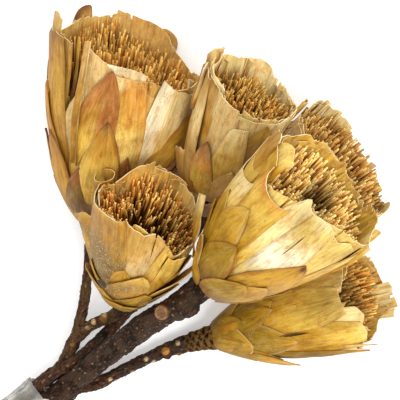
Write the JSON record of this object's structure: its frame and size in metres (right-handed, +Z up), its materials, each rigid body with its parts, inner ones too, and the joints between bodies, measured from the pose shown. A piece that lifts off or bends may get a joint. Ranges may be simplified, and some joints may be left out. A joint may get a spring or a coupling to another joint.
{
  "type": "bunch of dried king protea flower heads",
  "caption": "Dried protea flower heads with cut-across bracts full of stiff florets, on woody stems bound together with clear film, lying on a flat surface.",
  "frame": {"origin": "middle of the bunch's bounding box, at the surface it lies on", "axes": "+X along the stems towards the flower heads, +Z up from the surface"},
  "size_m": [0.29, 0.2288, 0.1542],
  "materials": {
    "bracts": "dry, fibrous, satin",
    "florets": "dry, matte",
    "bark": "rough bark",
    "film": "clear crinkled film"
  },
  "bodies": {
    "root": {"bracts_a": "bracts", "florets_a": "florets", "bracts_b": "bracts", "florets_b": "florets", "bracts_c": "bracts", "florets_c": "florets", "bracts_d": "bracts", "florets_d": "florets", "bracts_e": "bracts", "florets_e": "florets", "bracts_f": "bracts", "florets_f": "florets", "stem_ab": "bark", "stem_c": "bark", "stem_d": "bark", "stem_e": "bark", "stem_f": "bark", "film_wrap": "film"}
  },
  "joints": []
}
